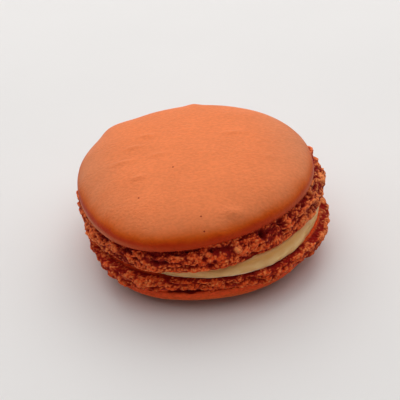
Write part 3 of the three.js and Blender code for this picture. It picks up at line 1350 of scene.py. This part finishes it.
    def shaped(self, plain: Array, facing: Array) -> tuple[Array, dict[str, Array]]:
        """Gives the turned form its uneven outline, its crumbly foot and its faintly uneven cap.

        Args:
            plain: The turned form's points.
            facing: The way that each point faces.

        Returns:
            The moved points, and the marks cap, toast, side, lip, crease and tip.
        """
        at = self.measured(plain)
        lumps = self.foot_crumbs.crumbs(plain, self.seed + ShellDraw.FOOT)
        forms = self.small_forms(at, lumps)
        points = self.moved(at, lumps)
        relief = self.foot_relief(at, forms) + self.cap_relief(at) - self.groove_depth * forms.groove
        points += facing * relief[:, None]
        points[:, 2] += self.fringe(at)
        return points, self.marks(at, forms)

    def build(self, finish: bpy.types.Material) -> bpy.types.Object:
        """Makes the shell and dresses it.

        Args:
            finish: The meringue's material.

        Returns:
            The finished object, which stands for the shell's solid.
        """
        section, counts = self.section()
        along = np.gradient(section, axis=0)
        length = np.maximum(np.hypot(along[:, 0], along[:, 1]), TINY)
        angle = ring_angles(counts)
        rows = (section[:, 0], section[:, 1], along[:, 1] / length, -along[:, 0] / length)
        radius, height, out, up = (np.repeat(row, counts) for row in rows)
        plain = np.stack([radius * np.cos(angle), radius * np.sin(angle), height], axis=1)
        facing = np.stack([out * np.cos(angle), out * np.sin(angle), up], axis=1)
        points, marks = self.shaped(plain, facing)
        shell = RingStack(self.name, counts, self.place.placed(points)).build(marks)
        shell.data.materials.append(finish)
        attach(shell, BODY)
        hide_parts(self.node)
        return shell


class CreamDraw(IntEnum):
    """Which random numbers each layer of the cream's relief uses, counted from its seed."""

    WAVE = 0
    DENTS = 10
    DRAGS = 20


@dataclass(frozen=True)
class CreamFilling:
    """The wedge of cream that fills the space between the two inner faces."""

    name: str
    node: str
    seed: int
    below: float
    above: MeringueShell
    radius: float = 22.0
    edge_round: float = 0.5
    low_centre: tuple[float, float] = (1.0, -1.0)
    high_centre: tuple[float, float] = (0.7, -0.75)
    wave: Relief = Relief(9, 0.25)
    tuck: float = 0.1
    lift: float = 0.08
    dents: Relief = Relief(3.0, 0.2, 0.8)
    drags: Relief = Relief(1.1, 0.08, 0.6)
    side_rings: int = 30
    points_round: int = 960
    face_round: int = 96

    def upper_side(self, x: Array, y: Array) -> Array:
        """Follows the top shell's inner face and its drooping skirt.

        Args:
            x: Where to measure, to the right.
            y: Where to measure, to the back.

        Returns:
            The height of the face or skirt over each point.
        """
        place = self.above.place
        normal = place.turn() @ np.array([0.0, 0.0, 1.0])
        across, along = x - place.x, y - place.y
        droop = added(self.above.skirt_droops, np.arctan2(along, across))
        droop = droop * self.above.rim_share(np.hypot(across, along))
        return place.z - (normal[0] * across + normal[1] * along) / normal[2] - droop

    def section(self) -> tuple[Array, list[int]]:
        """Half of the cream's section, from the middle of its lower side round to its upper side's.

        Returns:
            The radius and share of the height of each ring, and each ring's number of points.
        """
        inset = self.radius - self.edge_round
        swollen = self.radius + self.edge_round / 3
        side = bezier([(inset, 0.0), (swollen, 0.1), (swollen, 0.9), (inset, 1.0)], self.side_rings)
        upper = [[inset, 1.0], [0.93 * self.radius, 1.0], [inset / 2, 1.0], [0.0, 1.0]]
        counts = [1, self.face_round] + [self.points_round] * (self.side_rings + 2) + [self.face_round, 1]
        return np.concatenate([[[0.0, 0.0], [inset / 2, 0.0]], side, upper]), counts

    def build(self, finish: bpy.types.Material) -> bpy.types.Object:
        """Makes the cream and dresses it.

        Args:
            finish: The cream's material.

        Returns:
            The finished object, which stands for the cream's solid.
        """
        section, counts = self.section()
        angle = ring_angles(counts)
        radius, share = (np.repeat(section[:, part], counts) for part in (0, 1))
        x, y = radius * np.cos(angle), radius * np.sin(angle)
        flat = np.stack([x, y, np.zeros(len(x))], axis=1)
        scale = 1.0 + self.wave.swells(flat, self.seed + CreamDraw.WAVE) / self.radius
        x = x * scale + lerp(self.low_centre[0], self.high_centre[0], share)
        y = y * scale + lerp(self.low_centre[1], self.high_centre[1], share)
        low, high = self.below + self.lift, self.upper_side(x, y) + self.tuck
        z = low + (high - low) * share
        points = np.stack([x, y, z], axis=1)
        inset = self.radius - self.edge_round
        outer = smoothstep(radius, inset - 0.2, inset)
        dents = self.dents.swells(points, self.seed + CreamDraw.DENTS)
        dents += self.drags.swells(points, self.seed + CreamDraw.DRAGS)
        points[:, 0] += dents * outer * np.cos(angle)
        points[:, 1] += dents * outer * np.sin(angle)
        # Where the finish paints a highlight along the lower edge, and the top shell's shadow down from the
        # top.
        marks = {"rim": 1.0 - smoothstep(z - low, 0.2, 0.6), "top": 1.0 - smoothstep(high - z, 0.3, 2.0)}
        cream = RingStack(self.name, counts, points).build(marks)
        cream.data.materials.append(finish)
        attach(cream, BODY)
        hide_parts(self.node)
        return cream


# Stage, light and camera


@dataclass(frozen=True)
class Floor:
    """The pale floor that the macaron lies on."""

    reach: float = 1500.0
    drop: float = 0.02
    finish: FloorFinish = FloorFinish()

    def build(self) -> bpy.types.Object:
        """Makes the floor, which isn't part of the macaron.

        Returns:
            The floor's object.
        """
        side, down = self.reach * MILLIMETRE, -self.drop * MILLIMETRE
        mesh = bpy.data.meshes.new("floor")
        corners = [(-side, -side, down), (side, -side, down), (side, side, down), (-side, side, down)]
        mesh.from_pydata(corners, [], [(0, 1, 2, 3)])
        floor = bpy.data.objects.new("floor", mesh)
        bpy.context.scene.collection.objects.link(floor)
        mesh.materials.append(self.finish.material())
        floor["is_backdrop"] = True
        return floor


@dataclass(frozen=True)
class SoftLight:
    """One large soft light that looks at the macaron."""

    name: str
    azimuth: float
    elevation: float
    distance: float
    width: float
    power: float
    colour: Colour = (1.0, 1.0, 1.0)

    def build(self) -> bpy.types.Object:
        """Makes the light. Azimuth 0 is the camera's side, and 90 is to its right.

        Returns:
            The light's object.
        """
        turn, rise = math.radians(self.azimuth), math.radians(self.elevation)
        way = Vector((math.sin(turn) * math.cos(rise), -math.cos(turn) * math.cos(rise), math.sin(rise)))
        light = bpy.data.lights.new(self.name, "AREA")
        light.shape = "DISK"
        light.size = self.width * MILLIMETRE
        light.energy = self.power
        light.color = self.colour
        made = bpy.data.objects.new(self.name, light)
        made.location = way * self.distance * MILLIMETRE
        made.rotation_euler = way.to_track_quat("Z", "Y").to_euler()
        bpy.context.scene.collection.objects.link(made)
        return made


@dataclass(frozen=True)
class Studio:
    """The soft light of the whole room, with the lights in it."""

    room_colour: Colour = (0.93, 0.96, 1.0)
    room_strength: float = 0.165
    lights: tuple[SoftLight, ...] = (
        SoftLight("window", azimuth=180, elevation=48, distance=600, width=700, power=2.25),
        SoftLight("right", azimuth=112, elevation=52, distance=600, width=600, power=0.95),
        SoftLight("left", azimuth=248, elevation=50, distance=600, width=600, power=0.85),
        SoftLight("overhead", azimuth=0, elevation=74, distance=600, width=600, power=0.92),
    )

    def build(self) -> None:
        """Makes the room's light and each soft light."""
        world = bpy.data.worlds.new("studio")
        world.use_nodes = True
        background = next(n for n in world.node_tree.nodes if n.type == "BACKGROUND")
        background.inputs["Color"].default_value = (*self.room_colour, 1.0)
        background.inputs["Strength"].default_value = self.room_strength
        scene = bpy.context.scene
        scene.world = world
        scene.view_settings.view_transform = "Standard"
        for light in self.lights:
            light.build()


@dataclass(frozen=True)
class ViewCamera:
    """The camera, which looks down on the macaron from the front."""

    elevation: float = 36.0
    roll: float = 3.5
    distance: float = 260.0
    aim: Triple = (-0.7, 0.2, 10.0)
    pixels_per_millimetre: float = 4.98

    def build(self) -> bpy.types.Object:
        """Makes the camera and gives it to the scene.

        Returns:
            The camera's object.
        """
        rise, roll = math.radians(self.elevation), math.radians(self.roll)
        right = Vector((1.0, 0.0, 0.0))
        up = Vector((0.0, math.sin(rise), math.cos(rise)))
        back = Vector((0.0, -math.cos(rise), math.sin(rise)))
        across = right * math.cos(roll) - up * math.sin(roll)
        upright = right * math.sin(roll) + up * math.cos(roll)
        turn = Matrix((across, upright, back)).transposed().to_4x4()
        data = bpy.data.cameras.new("camera")
        data.sensor_width = SENSOR_WIDTH
        data.lens = self.pixels_per_millimetre * self.distance * SENSOR_WIDTH / IMAGE_SIDE
        data.clip_start = 0.01
        data.clip_end = 10.0
        camera = bpy.data.objects.new("camera", data)
        place = (Vector(self.aim) + back * self.distance) * MILLIMETRE
        camera.matrix_world = Matrix.Translation(place) @ turn
        bpy.context.scene.collection.objects.link(camera)
        bpy.context.scene.camera = camera
        return camera


# The macaron's own sizes

BOTTOM_SHELL = MeringueShell(
    name="bottom_meringue",
    node="bottom_shell",
    seed=47,
    place=Placing(x=0.4, y=0.0, z=8.25, way=Way.CREST_DOWN),
    face_radius=21.9,
    foot_radius=23.8,
    skirt_height=0.3,
    foot_height=2.9,
    foot_bulge=0.3,
    groove_radius=22.7,
    lip_radius=22.9,
    lip_height=3.7,
    crest_height=8.25,
    dome_power=2.3,
    flat_radius=11,
    foot_bulges=(
        Bulge(angle=30, half_width=22, depth=1.1),
        Bulge(angle=46, half_width=8, depth=-0.7),
        Bulge(angle=56, half_width=14, depth=0.7),
        Bulge(angle=131, half_width=20, depth=1.0),
        Bulge(angle=152, half_width=10, depth=0.4),
        Bulge(angle=-10, half_width=12, depth=-0.7),
    ),
    cap_bulges=(
        Bulge(angle=35, half_width=30, depth=-1.2),
        Bulge(angle=155, half_width=18, depth=-1.0),
        Bulge(angle=108, half_width=18, depth=0.3),
    ),
    foot_sags=(
        Bulge(angle=138, half_width=28, depth=1.3),
        Bulge(angle=40, half_width=30, depth=1.2),
    ),
    hollows=(
        Spot(angle=100, height=2.75, half_width=3.0, half_height=0.65, depth=0.9),
        Spot(angle=116, height=1.5, half_width=1.0, half_height=0.35, depth=0.6),
        Spot(angle=75, height=1.3, half_width=1.0, half_height=0.22, depth=0.5),
    ),
    pale_crumbs=(Spot(angle=118, height=0.8, half_width=0.5, half_height=0.35, depth=0.3),),
    groove_depth=0.3,
    groove_broken=0.1,
    flare=0.0,
    ragged=0.5,
    layers=Relief(2.8, 0.3, 0.24),
    # Less painted shade between the layers, and a little less towards the lip.
    shade=FootShade(layers=0.35, upper=-0.1),
    tips=FootHighlights(edge=0.0),
    skirt_fine_share=0.8,
    # Painted shade on the ledge beside the cream.
    shade_by_cream_ring=(0.85, 1.2, 21.8),
    # Painted sheen towards the foot's ends.
    sheen_stretches=(
        Bulge(angle=4, half_width=28, depth=0.75),
        Bulge(angle=150, half_width=28, depth=0.12),
    ),
    # More or less painted shade along stretches of the foot.
    dark_stretches=(
        Bulge(angle=0, half_width=32, depth=-0.1),
        Bulge(angle=150, half_width=24, depth=0.5),
        Bulge(angle=32, half_width=10, depth=0.25),
    ),
    steps=FineSteps(skirt=18, foot=36, shoulder=10, crown=32),
)

TOP_SHELL = MeringueShell(
    name="top_meringue",
    node="top_shell",
    seed=11,
    place=Placing(x=-0.9, y=0.6, z=10.75, tilt_x=-1.3, tilt_y=-4.3),
    face_radius=22.4,
    foot_radius=24.3,
    skirt_height=0.4,
    foot_height=4.15,
    foot_bulge=0.45,
    groove_radius=22.4,
    lip_radius=23.2,
    lip_height=5.1,
    crest_height=11.8,
    dome_power=2.55,
    lean=(-0.5, -0.5),
    # Painted shade on the cap's left side.
    painted_shade_side=Bulge(angle=-140, half_width=42, depth=0.3),
    # Painted sheen and shade on the cap's left and right sides.
    sheen_and_shade_sides=(
        Bulge(angle=-178, half_width=34, depth=0.9),
        Bulge(angle=6, half_width=36, depth=0.9),
    ),
    # Stronger painted reflection on the lip at the left and right.
    lip_reflections=(
        Bulge(angle=-155, half_width=32, depth=0.65),
        Bulge(angle=-8, half_width=28, depth=0.5),
    ),
    cap_bumps=(
        Bump(x=-7.9, y=6.6, half_width=1.3, half_length=0.65, rise=0.36),
        Bump(x=-10.6, y=3.2, half_width=1.5, half_length=0.6, rise=0.28),
        Bump(x=-6.2, y=-0.9, half_width=1.6, half_length=0.6, rise=0.26),
        Bump(x=-10.0, y=-7.4, half_width=1.5, half_length=0.6, rise=0.34),
        Bump(x=-13.5, y=-1.2, half_width=2.2, half_length=0.7, rise=0.26),
        Bump(x=8.4, y=4.1, half_width=2.0, half_length=0.6, rise=0.28),
        Bump(x=8.6, y=-2.8, half_width=0.7, half_length=0.5, rise=0.18),
        Bump(x=14.8, y=-4.8, half_width=1.0, half_length=0.7, rise=0.22),
        Bump(x=7.7, y=-19.7, half_width=2.0, half_length=1.0, rise=0.42),
    ),
    foot_bulges=(Bulge(angle=20, half_width=16, depth=0.7),),
    # Painted sheen towards the foot's ends.
    sheen_stretches=(
        Bulge(angle=-6, half_width=28, depth=0.8),
        Bulge(angle=-160, half_width=36, depth=0.35),
    ),
    # More or less painted shade along stretches of the foot.
    dark_stretches=(
        Bulge(angle=8, half_width=20, depth=0.12),
        Bulge(angle=-170, half_width=32, depth=-0.1),
    ),
    cap_bulges=(
        Bulge(angle=132, half_width=9, depth=2.0),
        Bulge(angle=155, half_width=14, depth=0.4),
        Bulge(angle=112, half_width=12, depth=0.3),
        Bulge(angle=87, half_width=4, depth=0.9),
        Bulge(angle=80, half_width=45, depth=0.7),
        Bulge(angle=-125, half_width=22, depth=0.5),
    ),
    skirt_droops=(
        Bulge(angle=-114, half_width=14, depth=0.3),
        Bulge(angle=-84, half_width=6, depth=0.4),
        Bulge(angle=-62, half_width=44, depth=1.0),
    ),
    hollows=(
        Spot(angle=-59.2, height=3.4, half_width=0.6, half_height=0.75, depth=1.7),
        Spot(angle=-109.5, height=2.3, half_width=1.9, half_height=0.4, depth=0.8),
        Spot(angle=-47, height=2.9, half_width=0.9, half_height=0.4, depth=0.6),
        Spot(angle=-80, height=3.3, half_width=2.6, half_height=0.4, depth=0.7),
        Spot(angle=-125, height=3.0, half_width=2.2, half_height=0.3, depth=0.5),
    ),
    pale_crumbs=(
        Spot(angle=-73, height=2.7, half_width=0.9, half_height=0.55, depth=0.75),
        Spot(angle=-89, height=3.0, half_width=1.3, half_height=0.3, depth=0.35),
        Spot(angle=-100, height=3.1, half_width=0.6, half_height=0.3, depth=0.3),
    ),
)

CREAM = CreamFilling(
    name="cream",
    node="filling",
    seed=83,
    below=BOTTOM_SHELL.place.z,
    above=TOP_SHELL,
)

# Tiny holes in the top cap, where bubbles burst while it dried; the finish paints the shade inside them as
# dark dots
PINHOLES = (
    (-5.48, -5.44, 22.29),
    (-12.18, -12.92, 20.87),
    (-0.70, -19.43, 20.49),
    (-0.27, -21.77, 18.81),
)

TOP_FINISH = MeringueFinish(name="top_meringue", pinholes=PINHOLES)
BOTTOM_FINISH = MeringueFinish(
    name="bottom_meringue",
    # The bottom cap's colour towards its lip: toasting and painted shade.
    toasted_and_shade=(1.0, 0.105, 0.024),
    lip=(1.0, 0.10, 0.022),
    foot=(1.0, 0.108, 0.018),
    # Dark specks and painted shade on the bottom foot.
    dark_speck_and_shade=(0.34, 0.010, 0.005),
    fleck=0.25,
)


def report(piece: bpy.types.Object) -> None:
    """Writes a piece's name and number of triangles to the log."""
    triangles = sum(len(face.vertices) - 2 for face in piece.data.polygons)
    log.info("%s: %d triangles", piece.name, triangles)


def write_sizes() -> None:
    boxes = {"cad": cad_box, "visual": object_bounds()}
    plain = {name: [list(corner) for corner in box] for name, box in boxes.items()}


def main() -> None:
    """Builds the macaron, the floor, the light and the camera."""
    logging.basicConfig(level=logging.INFO, format="%(name)s: %(message)s")
    report(BOTTOM_SHELL.build(BOTTOM_FINISH.material()))
    report(CREAM.build(CreamFinish().material()))
    report(TOP_SHELL.build(TOP_FINISH.material()))
    report(Floor().build())
    Studio().build()
    ViewCamera().build()
    write_sizes()


if __name__ == "__main__":
    main()
